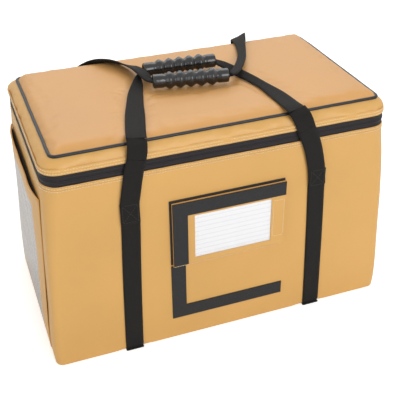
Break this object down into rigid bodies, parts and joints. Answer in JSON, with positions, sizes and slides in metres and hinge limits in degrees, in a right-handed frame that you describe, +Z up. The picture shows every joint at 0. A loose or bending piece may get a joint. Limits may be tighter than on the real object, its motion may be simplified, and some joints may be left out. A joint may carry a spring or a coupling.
{
  "type": "vaccine carrier",
  "caption": "Insulated fabric box bag with a padded zip lid, webbing carry loops with ribbed grips, a fold-down address flap and a side document pocket",
  "frame": {"origin": "centre of the footprint, on the ground under the webbing straps", "axes": "+X along the width to the right seen from the front, front faces -Y, +Z up"},
  "size_m": [0.5934, 0.336, 0.4139],
  "materials": {
    "orange_fabric": "coated, satin",
    "stiff_board": "matt",
    "foam": "matt closed-cell foam",
    "liner": "wipe-clean white",
    "zip_tape": "woven",
    "zip_coil": "satin",
    "piping": "satin",
    "webbing": "woven",
    "grip_rubber": "glossy",
    "hook_loop": "matt pile",
    "clear_film": "clear film",
    "card_paper": "paper",
    "slider_metal": "black enamel"
  },
  "bodies": {
    "carrier": {"base_cover": "orange_fabric", "base_board": "stiff_board", "base_foam": "foam", "front_cover": "orange_fabric", "rear_cover": "orange_fabric", "left_cover": "orange_fabric", "right_cover": "orange_fabric", "front_foam": "foam", "rear_foam": "foam", "left_foam": "foam", "right_foam": "foam", "inner_liner": "liner", "body_zip_tape": "zip_tape", "body_zip_coil": "zip_coil", "body_hinge_strip": "orange_fabric", "left_strap": "webbing", "right_strap": "webbing", "front_riser_left": "webbing", "front_riser_right": "webbing", "rear_end_left": "webbing", "rear_end_right": "webbing", "flap_seam": "orange_fabric", "wall_upper_strip": "hook_loop", "wall_lower_strip": "hook_loop", "pocket_frame": "orange_fabric", "pocket_window": "clear_film", "pocket_binding": "orange_fabric"},
    "lid": {"lid_foam": "foam", "lid_liner": "liner", "lid_band": "orange_fabric", "lid_top_cover": "orange_fabric", "lid_piping": "piping", "lid_zip_tape": "zip_tape", "lid_zip_coil": "zip_coil", "lid_hinge_strip": "orange_fabric"},
    "front_fold": {"front_bend_left": "webbing", "front_bend_right": "webbing"},
    "front_loop": {"front_loop_webbing": "webbing", "front_loop_grip": "grip_rubber"},
    "rear_fold": {"rear_riser_left": "webbing", "rear_riser_right": "webbing"},
    "rear_loop": {"rear_loop_webbing": "webbing", "rear_loop_grip": "grip_rubber"},
    "address_flap": {"flap_back": "orange_fabric", "flap_front": "orange_fabric", "flap_window": "clear_film", "flap_face_strip": "hook_loop", "flap_back_strip": "hook_loop"},
    "card": {"address_card": "card_paper"},
    "front_slider": {"front_slider": "slider_metal"},
    "rear_slider": {"rear_slider": "slider_metal"},
    "front_puller": {"front_puller": "slider_metal"},
    "rear_puller": {"rear_puller": "slider_metal"}
  },
  "joints": [
    {"name": "lid_hinge", "type": "hinge", "parent": "carrier", "child": "lid", "pos_m": [0, 0.1604, 0.346], "axis": [-1, 0, 0], "range_deg": [0, 90]},
    {"name": "front_loop_fold", "type": "hinge", "parent": "carrier", "child": "front_fold", "pos_m": [0, -0.1652, 0.374], "axis": [1, 0, 0], "range_deg": [0, 225], "deforming": ["front_bend_left", "front_bend_right"]},
    {"name": "front_loop_lift", "type": "hinge", "parent": "front_fold", "child": "front_loop", "pos_m": [0, -0.1512, 0.374], "axis": [1, 0, 0], "range_deg": [0, 30], "deforming": ["front_loop_webbing"]},
    {"name": "rear_loop_fold", "type": "hinge", "parent": "carrier", "child": "rear_fold", "pos_m": [0, 0.1652, 0.303], "axis": [-1, 0, 0], "range_deg": [0, 144], "deforming": ["rear_riser_left", "rear_riser_right"]},
    {"name": "rear_loop_lift", "type": "hinge", "parent": "rear_fold", "child": "rear_loop", "pos_m": [0, 0.1512, 0.374], "axis": [-1, 0, 0], "range_deg": [0, 30], "deforming": ["rear_loop_webbing"]},
    {"name": "flap_hinge", "type": "hinge", "parent": "carrier", "child": "address_flap", "pos_m": [0.004, -0.1667, 0.154], "axis": [1, 0, 0], "range_deg": [0, 180]},
    {"name": "card_slide", "type": "slide", "parent": "address_flap", "child": "card", "axis": [1, 0, 0], "range_m": [0, 0.14]},
    {"name": "front_slider_run", "type": "slide", "parent": "carrier", "child": "front_slider", "axis": [0, -1, 0], "range_m": [0, 0.1]},
    {"name": "rear_slider_run", "type": "slide", "parent": "carrier", "child": "rear_slider", "axis": [0, 1, 0], "range_m": [0, 0.085]},
    {"name": "front_puller_swing", "type": "hinge", "parent": "front_slider", "child": "front_puller", "pos_m": [0.28, -0.0045, 0.346], "axis": [0, 0, 1], "range_deg": [0, 120]},
    {"name": "rear_puller_swing", "type": "hinge", "parent": "rear_slider", "child": "rear_puller", "pos_m": [0.28, 0.0245, 0.346], "axis": [0, 0, -1], "range_deg": [0, 120]}
  ],
  "couplings": [
    {"joint": "front_loop_fold", "follows": "lid_hinge", "ratio": 2.5},
    {"joint": "rear_loop_fold", "follows": "lid_hinge", "ratio": 1.6}
  ]
}
